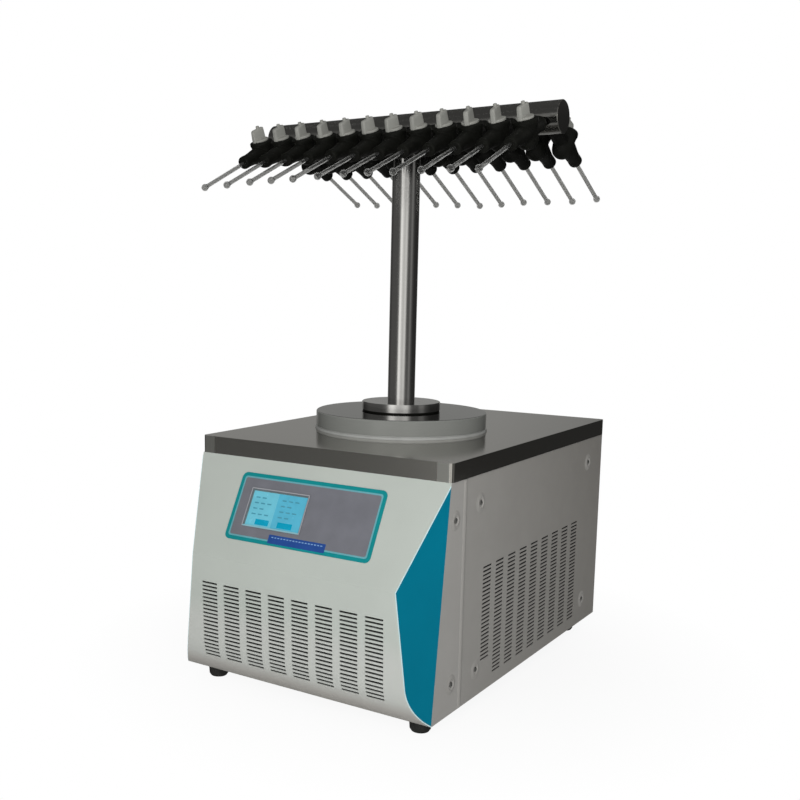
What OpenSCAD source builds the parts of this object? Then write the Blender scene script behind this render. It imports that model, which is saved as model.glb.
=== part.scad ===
// Benchtop freeze dryer with a T manifold: 24 rubber valves in two rows, each
// holding a glass ampoule, above a refrigerated cold trap in a sheet-metal casing.
// Millimetres. X runs along the manifold, -Y is the front and Z is up. The origin
// is on the floor, under the middle of the worktop.

/* [Casing] */
// Width of the worktop
worktop_w = 450; // [380:1:540]
// Depth of the worktop
worktop_d = 615; // [590:1:740]
// Height of the casing, without its feet
casing_h = 370; // [350:1:445]
// Height of the worktop's folded edge
apron_h = 27.5; // [20:0.5:33]
// Radius of the worktop's upright corners
corner_r = 7; // [3:0.5:14]
// Thickness of the folded sheet
sheet_t = 1.2; // [1:0.1:1.6]
// Height of the rubber feet
foot_h = 25; // [15:1:32]
// Diameter of the rubber feet
foot_d = 34; // [24:1:38]

/* [Front] */
// Height of the crease above the casing's underside
crease_h = 196; // [165:1:236]
// How far the crease stands ahead of the worktop's edge
crease_reach = 78.5; // [62:0.5:94]
// How far the lower face falls back below the crease
face_fall = 5; // [2:0.5:10]
// Height at which the lower face starts to bend under
bend_h = 62; // [50:1:74]
// Radius of that bend
bend_r = 75; // [75:1:90]
// Thickness of the front moulding
face_t = 2; // [1.5:0.1:3]
// Angle of the coloured cheeks to the sides
cheek_angle = 35.5; // [25:0.5:40]
// Depth of the strip between the cheeks and the side panels, at its top
strip_w = 51.5; // [42:0.5:62]

/* [Air slots] */
// Width of one slot
slot_w = 30; // [24:0.5:33]
// Height of one slot
slot_h = 3; // [2:0.1:4]
// Height from one slot to the next
slot_pitch = 6.25; // [5.5:0.05:7.5]
// Rows of slots in the front
front_rows = 20; // [12:1:20]
// Rows of slots in the sides
side_rows = 29; // [20:1:29]

/* [Controls] */
// Width of the control overlay
overlay_w = 261; // [225:1:300]
// Height of the control overlay along the slope
overlay_h = 109; // [96:1:112]
// Width of the screen's frame
bezel_w = 108; // [92:1:125]
// Height of the screen's frame along the slope
bezel_h = 62.5; // [53:0.5:70]

/* [Cold trap] */
// Sideways place of the cold trap
trap_x = -13; // [-25:1:25]
// Front-to-back place of the cold trap
trap_y = -35; // [-45:1:20]
// Inner diameter of the cold trap
trap_d = 210; // [180:1:230]
// Depth of the cold trap
trap_depth = 190; // [160:1:200]
// Diameter of the lid
lid_d = 289; // [276:1:330]
// Thickness of the lid
lid_t = 25; // [18:0.5:32]

/* [Manifold] */
// Height of the manifold tube's axis above the worktop
manifold_h = 496; // [400:1:600]
// Outer diameter of the manifold tube
manifold_d = 50; // [46:0.5:56]
// Length of the manifold tube
manifold_l = 536; // [520:1:640]
// Outer diameter of the column
column_d = 46; // [38:0.5:47]
// Diameter of the column's flange
flange_d = 133; // [106:0.5:150]
// Thickness of the column's flange
flange_t = 16; // [12:0.5:20]
// Wall of the stainless tubes
tube_wall = 2; // [1.5:0.1:2.5]
// Distance from one valve to the next
valve_pitch = 43.8; // [38:0.1:46]
// How far the ports point down from level
port_drop = 23; // [15:1:30]

/* [Valves] */
// Distance from the manifold's axis to the valve's plug
valve_reach = 79; // [68:0.5:94]
// Diameter of the rubber barrel's lip
lip_d = 37; // [32:0.5:38.5]
// Diameter of the plug
plug_d = 16; // [13:0.5:18]
// Diameter of the knob's disc
knob_d = 27; // [23:0.5:32]
// Height of the knob's grip
grip_h = 18.5; // [14:0.5:22]

/* [Ampoules] */
// Diameter of the glass tube
ampoule_d = 6.6; // [5.5:0.1:8.5]
// Diameter of the ampoule's ball
ball_d = 12; // [10:0.5:16]
// Length of the ampoule from the nozzle's mouth to the middle of its ball
ampoule_l = 112; // [90:1:140]

/* [Hidden] */
$fn = 64;
ports = 12;                       // valves in each row
eps = 0.01;                       // overshoot of a cut
cut = 500;                        // length of a cutter that only has to reach through
fit = 0.05;                       // radial play of a turning plug or pin
seat_gap = 0.3;                   // play between a moving face and the one it faces

// Levels and planes of the casing
base_z = foot_h;
top_z = base_z + casing_h;
apron_z = top_z - apron_h;
front_y = -worktop_d / 2;
rear_y = worktop_d / 2 - 2;
side_x = worktop_w / 2 - sheet_t - 0.3;
inner_x = side_x - sheet_t;
seam_y = front_y + strip_w;
seam_gap = 0.8;
panel_top = top_z - sheet_t - 1;

// Outline of the front, in the plane of Y and Z
crease = [front_y - crease_reach, base_z + crease_h];
lower_y = crease[0] + face_fall;
bend_z = base_z + bend_h;
chin_y = lower_y + bend_r - sqrt(bend_r * bend_r - bend_h * bend_h);
slope = atan(crease_reach / (apron_z - crease[1]));
slope_l = norm([front_y - crease[0], apron_z - crease[1]]);

// The side line, where each cheek meets its strip
side_lean = atan((front_y - chin_y) / (apron_z - base_z));
cheek_t = 1.5;
cheek_reach = 3 * crease_reach;

// Air slots
front_cols = 8;
side_cols = 9;
front_span = worktop_w - 123;
side_from = seam_y + 62;
side_to = rear_y - 109;
front_slot_top = base_z + crease_h - 41;
side_slot_top = base_z + min(198, casing_h - apron_h - 100);
short_rows = 5;
rear_cols = 4;
rear_rows = 16;
rear_pitch = [36, 8];
rear_slot_x = -150;
rear_slot_z = base_z + 60;

// Screws
screw_head_d = 8;
screw_head_t = 2.2;
screw_d = 4;
screw_l = 9;
post_w = 24;
post_leg = 18;
screw_low = base_z + 43.5;
screw_high = apron_z - 43.5;
strip_screw_y = front_y + 16;
strip_screw_top = apron_z - 56;
post_front_y = seam_y + 45;
post_rear_y = rear_y - 70;

// Control panel, placed down the slope from the worktop
overlay_t = 0.8;
overlay_top = slope_l * 0.142;
overlay_mid = overlay_top + overlay_h / 2;
overlay_r = 9;
bezel_x = 3.5 - bezel_w / 2;
bezel_mid = overlay_mid;
bezel_rim = 2.5;
bezel_t = 2.4;
screen_t = 8;
screen_sink = 1.1;
window_gap = 0.4;
board_t = 1.6;
spacer_d = 5;
relays = 4;
relay = [14, 12, 9];
relay_pitch = 22;
plug = [30, 14, 14];

// Rear services
inlet_x = 150;
inlet_z = base_z + 70;
inlet = [58, 34];
inlet_flange = 3;
inlet_depth = 24;
socket = [24, 17];
socket_depth = 16;
socket_rim = 6;
pin = [2, 4];
pin_pitch = 5;
pin_drop = 4.5;
rocker_x = 13.5;
rocker_w = 15;
rocker_pin = 3;
rocker_tilt = 8;
vacuum_z = top_z - 75;
vacuum_d = 28;
vacuum_bore = 24;
kf_d = 40;
drain_x = 62;
drain_z = base_z + 48;
drain_d = 10;
drain_grip = 12;
lever_l = 52;
lever_z = 19;
stem_d = 6;
spout_d = 11;
spout_end = 66;
handle_y = 27;

// Cold trap and lid
pot_wall = 1.5;
pot_r = trap_d / 2 + pot_wall;
rim_r = pot_r + 22;
rim_t = 1.5;
pot_floor = top_z - trap_depth;
seal_r = lid_d / 2 + 1.5;
seal_t = 6;
seal_bead = 2.4;
lid_z = top_z + seal_t;
lid_top = lid_z + lid_t;
lid_edge = 2.5;
lid_plug_r = trap_d / 2 - 2;
lid_plug_h = 8;
foam_t = 18;
coil_d = 8;
coil_gap = 0.4;
coil_r = pot_r + coil_d / 2 + coil_gap;
foam_in = coil_r + coil_d / 2 + coil_gap;
foam_out = foam_in + foam_t;
foam_bottom = pot_floor - foam_t - 4;
foam_top = top_z - sheet_t;
coil_low = pot_floor + coil_d;
coil_high = vacuum_z - vacuum_d / 2 - coil_d;
coil_turns = 1 + floor((coil_high - coil_low) / (coil_d + 1.5));
coil_step = (coil_high - coil_low) / (coil_turns - 1);

// Column and manifold
flange_step = 2.5;
flange_gap_d = flange_d - 5;
column_bore = column_d - 2 * tube_wall;
manifold_z = top_z + manifold_h;
manifold_bore = manifold_d - 2 * tube_wall;
cap_t = 3;
spigot_d = 12.7;
spigot_bore = 9.5;
spigot_end = valve_reach - 15;

// Rubber valve, about its own port: Y runs out along the port and Z along the plug
barrel_d = lip_d - 4;
barrel_low_d = lip_d - 3;
lip_top = 21;
lip_t = 7;
lip_slope = 4;
dome_z = -8;
plug_low = -15;
passage_z = 2;
passage_d = 5;
sleeve_d = 22;
sleeve_from = manifold_d / 2 + 7;
sleeve_lip = 5;
nozzle_root_d = 30;
nozzle_d = 20.5;
nozzle_end = valve_reach + 62;
nozzle_edge = 3;
nozzle_grip = 24;

// Knob
knob_t = 4;
grip_w = 22.5;
grip_top_w = 19;
grip_t = 7.5;
grip_top_t = 6.5;
grip_shift = 2;
pip = [6, 5, 3.5];

// Ampoule
glass_t = 0.9;
ampoule_play = 5;

// Refrigeration, inside the casing
floor_t = sheet_t + 0.3;
floor_z = base_z + floor_t;
mount_h = 14;
compressor_r = 72;
compressor_h = 172;
compressor_top = floor_z + mount_h + compressor_h;
compressor_x = -105;
compressor_y = rear_y - 112;
condenser = [300, 40, 118];
condenser_y = front_y - 8;
condenser_z = base_z + 14;
fins = 24;
fin_t = 1;
fan_d = 108;
fan_frame = [118, 26];
fan_y = condenser_y + condenser[1] / 2;
fan_z = condenser_z + condenser[2] / 2;
fan_blades = 7;
hub_d = 38;
pin_d = 6;
line_d = 8;
drier_d = 22;
drier_l = 90;

// ---------- Shared shapes ----------

// Extrudes an outline given in Y and Z along X, about the middle
module along_x(l) rotate([90, 0, 90]) linear_extrude(l, center = true) children();

// A round bar from a to b
module bar(a, b, d) {
    v = b - a;
    translate(a) rotate([0, acos(v[2] / norm(v)), atan2(v[1], v[0])]) cylinder(d = d, h = norm(v));
}

// A pipe along a list of points, with a ball elbow that stands out by extra
module pipe(points, d, extra = 0) {
    for (i = [1 : len(points) - 1]) bar(points[i - 1], points[i], d);
    if (len(points) > 2)
        for (i = [1 : len(points) - 2]) translate(points[i]) sphere(d = d + extra);
}

// A rectangle with round corners, about its middle
module rounded(w, h, r) {
    square([w - 2 * r, h], center = true);
    square([w, h - 2 * r], center = true);
    for (x = [-1, 1], y = [-1, 1]) translate([x * (w / 2 - r), y * (h / 2 - r)]) circle(r);
}

// The casing's front in outline, in Y and Z, back to the seam
module front_outline() {
    polygon([[seam_y, bend_z], [seam_y, apron_z], [front_y, apron_z], crease, [lower_y, bend_z]]);
    intersection() {
        translate([lower_y + bend_r, bend_z]) circle(bend_r, $fn = 128);
        translate([lower_y, base_z]) square([bend_r, bend_h]);
    }
    translate([lower_y + bend_r, base_z]) square([seam_y - lower_y - bend_r, bend_h]);
}

// Extrudes an outline along the right-hand side line. Its origin is on the line, -Y is ahead
module along_side_line() {
    translate([side_x, front_y, apron_z]) rotate([-side_lean, 0, 0])
        translate([0, 0, -1.5 * casing_h]) linear_extrude(2 * casing_h) children();
}

// One side strip in outline, in Y and Z
module strip_outline() {
    polygon([[seam_y - seam_gap, base_z], [seam_y - seam_gap, apron_z], [front_y, apron_z],
             [chin_y, base_z]]);
}

module right_strip() {
    translate([side_x - sheet_t / 2, 0, 0]) along_x(sheet_t) strip_outline();
}

// Puts children on the sloping face: X across, Y up the slope, Z out of it
module on_slope(x, down, out = 0) {
    translate([0, front_y, apron_z]) rotate([90 - slope, 0, 0]) translate([x, -down, out]) children();
}

function column_x(i, n, from, to) = from + (to - from - slot_w) * i / (n - 1);

// ---------- Casing ----------

// One upright of folded angle, its outer face against the side panel
module post(y, top) {
    translate([inner_x - sheet_t, y - post_w / 2, base_z]) cube([sheet_t, post_w, top - base_z]);
    translate([inner_x - post_leg, y - post_w / 2, base_z]) cube([post_leg, sheet_t, top - base_z]);
}

module foot_places() {
    for (x = [-1, 1], y = [chin_y + 35, rear_y - 55])
        translate([x * (side_x - 35.5), y, 0]) children();
}

module chassis() {
    color("gainsboro") difference() {
        union() {
            translate([-inner_x + 0.5, chin_y + 5, base_z])
                cube([2 * inner_x - 1, rear_y - chin_y - 8, floor_t]);
            for (m = [0, 1]) mirror([m, 0, 0]) {
                post(strip_screw_y, apron_z - 1);
                post(post_front_y, top_z - sheet_t);
                post(post_rear_y, top_z - sheet_t);
                translate([inner_x - 14, post_front_y, top_z - sheet_t - 12])
                    cube([sheet_t, post_rear_y - post_front_y, 12]);
            }
            for (y = [post_front_y - post_w / 2, post_rear_y - post_w / 2])
                translate([-inner_x + 14, y, top_z - sheet_t - 6])
                    cube([2 * inner_x - 28, sheet_t, 6]);
        }
        foot_places() translate([0, 0, base_z - 1]) cylinder(d = 6, h = 4);
        side_screw_places() rotate([0, 90, 0]) cylinder(d = screw_d + 0.2, h = 30, center = true);
    }
}

module front_frame() {
    color("darkgray") difference() {
        union() {
            right_strip();
            mirror([1, 0, 0]) right_strip();
            translate([0, seam_y - 12, floor_z]) frame_rail();
            translate([0, seam_y - 12, apron_z - 14]) frame_rail();
        }
        side_screw_places() rotate([0, 90, 0]) cylinder(d = screw_d + 0.2, h = 30, center = true);
    }
}

// A rail that ties the two strips together behind the front moulding
module frame_rail() translate([-side_x + 0.5, 0, 0]) cube([2 * side_x - 1, sheet_t, 12]);

module front_slots() {
    for (c = [0 : front_cols - 1], r = [0 : front_rows - 1])
        translate([column_x(c, front_cols, -front_span / 2, front_span / 2), crease[0] - 10,
                   front_slot_top - r * slot_pitch - slot_h])
            cube([slot_w, crease_reach, slot_h]);
}

module front_fascia() {
    color("silver") difference() {
        along_x(2 * side_x) difference() {
            front_outline();
            translate([face_t, 0]) front_outline();
        }
        for (m = [0, 1]) mirror([m, 0, 0]) {
            along_side_line() polygon([[0, 0], [-cheek_reach * tan(cheek_angle), -cheek_reach],
                                       [cheek_reach, -cheek_reach], [cheek_reach, 0]]);
            right_strip();
        }
        front_slots();
        on_slope(bezel_x, bezel_mid)
            cube([bezel_w - 2 * bezel_rim + 2, bezel_h - 2 * bezel_rim + 2, 20], center = true);
    }
}

// The coloured plate between the moulding's cut edge and the side strip
module right_cheek() {
    across = cheek_t / cos(cheek_angle);
    color("teal") intersection() {
        along_side_line() polygon([[0, 0], [-cheek_reach * tan(cheek_angle), -cheek_reach],
                                   [-cheek_reach * tan(cheek_angle) - across, -cheek_reach],
                                   [-across, 0]]);
        along_x(worktop_w) translate([face_t, 0]) front_outline();
    }
}

module left_cheek() mirror([1, 0, 0]) right_cheek();

// Places of the screws that hold the side panels and strips, their axis along X
module side_screw_places() {
    for (m = [0, 1]) mirror([m, 0, 0]) {
        for (y = [post_front_y, post_rear_y], z = [screw_low, screw_high])
            translate([side_x, y, z]) children();
        for (z = [screw_low + 1.5, strip_screw_top]) translate([side_x, strip_screw_y, z]) children();
    }
}

module right_side_panel() {
    color("darkgray") difference() {
        translate([side_x - sheet_t / 2, 0, 0]) along_x(sheet_t) difference() {
            translate([seam_y, base_z]) square([rear_y - seam_y, apron_z - base_z]);
            translate([seam_y, apron_z - eps])
                square([rear_y - corner_r - seam_y, panel_top - apron_z + eps]);
            for (c = [0 : side_cols - 1], r = [0 : side_rows - 1 - (c == 0 ? short_rows : 0)])
                translate([column_x(c, side_cols, side_from, side_to),
                           side_slot_top - r * slot_pitch - slot_h])
                    square([slot_w, slot_h]);
        }
        side_screw_places() rotate([0, 90, 0]) cylinder(d = screw_d + 0.2, h = 30, center = true);
    }
}

module left_side_panel() mirror([1, 0, 0]) right_side_panel();

module rear_screw_places() {
    for (x = [-1, 1], z = [screw_low, (screw_low + screw_high) / 2, screw_high])
        translate([x * (inner_x - 14), rear_y, z]) children();
}

module rear_panel() {
    w = 2 * (inner_x - 0.3);
    color("darkgray") difference() {
        union() {
            translate([-w / 2, rear_y - sheet_t, base_z]) cube([w, sheet_t, apron_z - base_z]);
            translate([corner_r - w / 2, rear_y - sheet_t, apron_z - eps])
                cube([w - 2 * corner_r, sheet_t, panel_top - apron_z + eps]);
            for (x = [-w / 2, w / 2 - sheet_t])
                translate([x, rear_y - 20, base_z + 3]) cube([sheet_t, 20, apron_z - base_z - 4]);
        }
        for (c = [0 : rear_cols - 1], r = [0 : rear_rows - 1])
            translate([rear_slot_x + c * rear_pitch[0], rear_y - 5, rear_slot_z + r * rear_pitch[1]])
                cube([slot_w - 2, 10, slot_h]);
        translate([inlet_x, rear_y, inlet_z]) cube([inlet[0] - 8, 20, inlet[1] - 8], center = true);
        translate([trap_x, rear_y, vacuum_z]) rotate([90, 0, 0])
            cylinder(d = vacuum_d + 0.6, h = 20, center = true);
        translate([drain_x, rear_y, drain_z]) rotate([90, 0, 0])
            cylinder(d = drain_d + 0.6, h = 20, center = true);
        rear_screw_places() rotate([90, 0, 0]) cylinder(d = screw_d + 0.2, h = 30, center = true);
    }
}

module worktop() {
    color("gray") difference() {
        translate([0, 0, apron_z]) linear_extrude(apron_h) rounded(worktop_w, worktop_d, corner_r);
        translate([0, 0, apron_z - eps]) linear_extrude(apron_h - sheet_t + eps)
            rounded(worktop_w - 2 * sheet_t, worktop_d - 2 * sheet_t, corner_r - sheet_t);
        translate([trap_x, trap_y, apron_z]) cylinder(r = pot_r + 0.3, h = 2 * apron_h, $fn = 96);
    }
}

module screw() {
    color("silver") rotate([0, 90, 0]) difference() {
        union() {
            intersection() {
                cylinder(d = screw_head_d, h = screw_head_t);
                translate([0, 0, screw_head_t - 6]) sphere(r = 6);
            }
            translate([0, 0, -screw_l]) cylinder(d = screw_d, h = screw_l + eps);
        }
        for (a = [0, 90]) rotate([0, 0, a]) translate([0, 0, screw_head_t])
            cube([4.4, 0.9, 2.6], center = true);
    }
}

module panel_screws() {
    side_screw_places() screw();
    rear_screw_places() rotate([0, 0, 90]) screw();
}

module feet() {
    color([0.08, 0.08, 0.08]) foot_places() difference() {
        rotate_extrude() polygon([[0, 0], [foot_d / 2 - 4, 0], [foot_d / 2 - 1.5, 3.5],
                                  [foot_d / 2, foot_h - 6], [foot_d / 2, foot_h], [0, foot_h]]);
        translate([0, 0, -1]) cylinder(d = 11, h = 7);
    }
}

// ---------- Controls ----------

module control_overlay() {
    color("dimgray") on_slope(0, overlay_mid) linear_extrude(overlay_t) difference() {
        rounded(overlay_w, overlay_h, overlay_r);
        translate([bezel_x, overlay_mid - bezel_mid])
            square([bezel_w + window_gap, bezel_h + window_gap], center = true);
    }
}

module screen_bezel() {
    color([0.25, 0.27, 0.28]) on_slope(bezel_x, bezel_mid) linear_extrude(bezel_t) difference() {
        rounded(bezel_w, bezel_h, 2);
        square([bezel_w - 2 * bezel_rim, bezel_h - 2 * bezel_rim], center = true);
    }
}

module touch_screen() {
    w = bezel_w - 2 * bezel_rim - window_gap;
    h = bezel_h - 2 * bezel_rim - window_gap;
    color("skyblue") on_slope(bezel_x, bezel_mid) union() {
        translate([-w / 2, -h / 2, bezel_t - screen_sink - screen_t]) cube([w, h, screen_t]);
        translate([-w / 2 - 6, -h / 2, -face_t - 3]) cube([w + 12, h, 3]);
    }
}

module control_board() {
    w = bezel_w + 20;
    h = bezel_h + 6;
    out = bezel_t - screen_sink - screen_t - board_t;
    color("darkgreen") on_slope(bezel_x, bezel_mid, out) union() {
        translate([-w / 2, -h / 2, 0]) cube([w, h, board_t]);
        for (i = [0 : relays - 1]) translate([i * relay_pitch - w / 4, relay[1] / 2, -relay[2]])
            cube(relay + [0, 0, eps]);
        for (x = [-1, 1], y = [-1, 1]) translate([x * (w - spacer_d) / 2, y * (h - spacer_d) / 2, 0])
            cylinder(d = spacer_d, h = -out - face_t * cos(slope));
        translate([spacer_d - w / 2, spacer_d - h / 2, -plug[2]]) cube(plug + [0, 0, eps]);
    }
}

// ---------- Cold trap ----------

// Spins a profile about the trap's upright axis
module about_trap() translate([trap_x, trap_y, 0]) rotate_extrude($fn = 96) children();

module cold_trap_pot() {
    color("lightsteelblue") difference() {
        about_trap() polygon([[0, pot_floor - pot_wall], [pot_r, pot_floor - pot_wall],
                              [pot_r, top_z], [rim_r, top_z], [rim_r, top_z + rim_t],
                              [pot_r - pot_wall, top_z + rim_t],
                              [pot_r - pot_wall, pot_floor], [0, pot_floor]]);
        translate([trap_x, trap_y, pot_floor - 5]) cylinder(d = drain_d - 2, h = 10);
        translate([trap_x, trap_y + pot_r, vacuum_z]) rotate([90, 0, 0])
            cylinder(d = vacuum_bore, h = 20, center = true);
    }
}

// Leads the melt water from the pot's floor to the valve behind the casing
module drain_pipe() {
    outlet = [trap_x, trap_y, pot_floor - pot_wall];
    low = [trap_x, trap_y, drain_z];
    side = [drain_x, trap_y, drain_z];
    end = [drain_x, rear_y + drain_grip, drain_z];
    color("whitesmoke") difference() {
        pipe([outlet, low, side, end], drain_d, 2);
        pipe([outlet + [0, 0, 1], low, side, end + [0, 1, 0]], drain_d - 2, 1);
    }
}

module trap_insulation() {
    stub = coil_d + 1;
    color("khaki") difference() {
        about_trap() difference() {
            translate([0, foam_bottom]) square([foam_out, foam_top - foam_bottom]);
            translate([0, pot_floor - pot_wall]) square([foam_in, foam_top]);
        }
        translate([trap_x, trap_y, foam_bottom - 1]) cylinder(d = drain_d + 0.6, h = cut / 4);
        translate([trap_x, trap_y, vacuum_z]) rotate([-90, 0, 0])
            cylinder(d = vacuum_d + 0.6, h = cut);
        translate([trap_x, trap_y, coil_low]) rotate([90, 0, 90]) cylinder(d = stub, h = cut);
        translate([trap_x, trap_y, coil_high]) rotate([90, 0, -90]) cylinder(d = stub, h = cut);
    }
}

// Level turns joined by a riser, with a stub for each refrigerant line
module evaporator_coil() {
    color("peru") {
        for (i = [0 : coil_turns - 1]) about_trap()
            translate([coil_r, coil_low + i * coil_step]) circle(d = coil_d, $fn = 24);
        translate([trap_x, trap_y - coil_r, coil_low]) cylinder(d = coil_d - 1, h = coil_high - coil_low);
        bar([trap_x + coil_r, trap_y, coil_low], [trap_x + foam_out + 4, trap_y, coil_low], coil_d);
        bar([trap_x - coil_r, trap_y, coil_high], [trap_x - foam_out - 4, trap_y, coil_high], coil_d);
    }
}

module trap_seal() {
    color([0.2, 0.2, 0.2]) about_trap() union() {
        translate([rim_r + 0.3, top_z]) square([seal_r - seal_bead - rim_r - 0.3, seal_t]);
        translate([seal_r - seal_bead, top_z + seal_bead]) circle(seal_bead);
        translate([lid_plug_r + 1, top_z + rim_t])
            square([rim_r + 0.4 - lid_plug_r - 1, seal_t - rim_t]);
    }
}

module trap_lid() {
    r = lid_d / 2;
    color("darkgray") difference() {
        about_trap() union() {
            translate([0, lid_z]) square([r, lid_t - lid_edge]);
            translate([0, lid_z]) square([r - lid_edge, lid_t]);
            translate([r - lid_edge, lid_top - lid_edge]) circle(lid_edge);
            translate([0, lid_z - lid_plug_h]) square([lid_plug_r, lid_plug_h + eps]);
        }
        translate([trap_x, trap_y, lid_z - cut / 4]) cylinder(d = column_bore, h = cut / 2);
    }
}

// ---------- Manifold ----------

// Lays children on the manifold's axis
module on_manifold() translate([trap_x, trap_y, manifold_z]) rotate([0, 90, 0]) children();

// The frame of port i. turn is 0 in the rear row and 180 in the front row
module at_port(i, turn) {
    translate([trap_x + (i - (ports + 1) / 2) * valve_pitch, trap_y, manifold_z])
        rotate([0, 0, turn]) rotate([-port_drop, 0, 0]) children();
}

module port_cone(d1, d2, from, to, z) {
    translate([0, from, z]) rotate([-90, 0, 0]) cylinder(d1 = d1, d2 = d2, h = to - from);
}

module port_bar(d, from, to, z = 0) port_cone(d, d, from, to, z);

module manifold_column() {
    color("lightgray") difference() {
        union() {
            about_trap() union() {
                translate([0, lid_top]) square([flange_gap_d / 2, flange_step + eps]);
                translate([0, lid_top + flange_step])
                    square([flange_d / 2, flange_t - flange_step - 1]);
                translate([0, lid_top + flange_t - 1 - eps]) square([flange_d / 2 - 1, 1 + eps]);
            }
            translate([trap_x, trap_y, lid_top]) cylinder(d = column_d, h = manifold_z - lid_top);
        }
        translate([trap_x, trap_y, lid_top - 1]) cylinder(d = column_bore, h = manifold_h);
        on_manifold() cylinder(d = manifold_d, h = 2 * column_d, center = true);
    }
}

module manifold_tube() {
    inner_l = manifold_l - 2 * cap_t;
    color("lightgray") difference() {
        union() {
            on_manifold() cylinder(d = manifold_d, h = manifold_l - 2, center = true);
            on_manifold() cylinder(d = manifold_d - 2, h = manifold_l, center = true);
            for (i = [1 : ports], turn = [0, 180]) at_port(i, turn) port_bar(spigot_d, 20, spigot_end);
        }
        on_manifold() cylinder(d = manifold_bore, h = inner_l, center = true);
        for (i = [1 : ports], turn = [0, 180]) at_port(i, turn) port_bar(spigot_bore, 10, spigot_end + 1);
        translate([trap_x, trap_y, manifold_z - manifold_d])
            cylinder(d = column_bore, h = manifold_d);
    }
}

// The rubber valve of port i: barrel, inlet sleeve and outlet nozzle, with a bore for the plug
module valve_body(i, turn) {
    at_plug = [0, valve_reach, 0];
    lip_low = lip_top - lip_t;
    color([0.1, 0.1, 0.1]) difference() {
        union() {
            translate(at_plug) {
                translate([0, 0, lip_low]) cylinder(d = lip_d, h = lip_t - 1);
                translate([0, 0, lip_top - 1]) cylinder(d1 = lip_d, d2 = lip_d - 2, h = 1);
                translate([0, 0, lip_low - lip_slope]) cylinder(d1 = barrel_d, d2 = lip_d, h = lip_slope);
                translate([0, 0, dome_z])
                    cylinder(d1 = barrel_low_d, d2 = barrel_d, h = lip_low - lip_slope - dome_z);
                translate([0, 0, dome_z]) sphere(d = barrel_low_d);
            }
            port_bar(sleeve_d, sleeve_from + 2, valve_reach);
            port_bar(sleeve_d + 2, sleeve_from, sleeve_from + sleeve_lip);
            port_cone(nozzle_root_d, nozzle_d, valve_reach, nozzle_end - nozzle_edge, passage_z);
            port_cone(nozzle_d, nozzle_d - 2, nozzle_end - nozzle_edge, nozzle_end, passage_z);
        }
        translate([0, valve_reach, plug_low - 0.5]) cylinder(d = plug_d + 2 * fit, h = 60);
        port_bar(spigot_d + 0.1, sleeve_from - 5, spigot_end + 0.5);
        port_bar(passage_d, spigot_end, nozzle_end - nozzle_grip, passage_z);
        in_nozzle(i, turn) port_bar(ampoule_d + 2 * fit, -2 * ampoule_play, nozzle_grip + 5);
    }
}

module valve_bodies() for (i = [1 : ports], turn = [0, 180]) at_port(i, turn) valve_body(i, turn);

// How far knob i stands turned from across the port. No two valves are set quite alike
function knob_turn(i, turn) = 80 + 13 * sin(55 * i + 66 + turn);

// The knob's grip: a plate that tapers both ways, nearer to one side of the disc
module grip() {
    translate([grip_shift, 0, 0]) intersection() {
        rotate([90, 0, 0]) linear_extrude(2 * grip_t, center = true)
            polygon([[-grip_w / 2, 0], [grip_w / 2, 0], [grip_top_w / 2, grip_h], [-grip_top_w / 2, grip_h]]);
        rotate([90, 0, 90]) linear_extrude(2 * grip_w, center = true)
            polygon([[-grip_t / 2, 0], [grip_t / 2, 0], [grip_top_t / 2, grip_h], [-grip_top_t / 2, grip_h]]);
    }
    translate([-pip[0] / 2, -pip[1] / 2, grip_h - eps]) cube(pip);
}

module valve_knob(i, turn) {
    color("silver") at_port(i, turn) translate([0, valve_reach, 0])
        rotate([0, 0, knob_turn(i, turn)]) difference() {
            union() {
                translate([0, 0, plug_low]) cylinder(d = plug_d, h = lip_top + 1 - plug_low);
                translate([0, 0, lip_top + seat_gap]) cylinder(d = knob_d, h = knob_t);
                translate([0, 0, lip_top + seat_gap + knob_t - eps]) grip();
            }
            translate([0, 0, passage_z]) rotate([90, 0, 90]) cylinder(d = passage_d, h = 30, center = true);
        }
}

// ---------- Ampoules ----------

// The rear row stands further out of the nozzles and droops a little more than the front row
function ampoule_shift(i, turn) = (turn == 0 ? 1 : -1) * ampoule_play + 3 * sin(90 * i + 172 + turn);
function ampoule_lean(i, turn) = 2 * sin(19 * i + 117 + turn) - (turn == 0 ? 1.9 : 0.6);

// The frame of the ampoule of port i, inside its nozzle
module in_nozzle(i, turn) {
    translate([0, nozzle_end - nozzle_grip, passage_z]) rotate([ampoule_lean(i, turn), 0, 0]) children();
}

// A glass tube with a closed ball
module ampoule() {
    difference() {
        union() {
            port_bar(ampoule_d, 0, nozzle_grip + ampoule_l);
            translate([0, nozzle_grip + ampoule_l, 0]) sphere(d = ball_d);
        }
        port_bar(ampoule_d - 2 * glass_t, -1, nozzle_grip + ampoule_l);
        translate([0, nozzle_grip + ampoule_l, 0]) sphere(d = ball_d - 2 * glass_t);
    }
}

module ampoules() {
    color("whitesmoke") for (i = [1 : ports], turn = [0, 180])
        at_port(i, turn) in_nozzle(i, turn) translate([0, ampoule_shift(i, turn), 0]) ampoule();
}

// ---------- Refrigeration ----------

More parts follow.
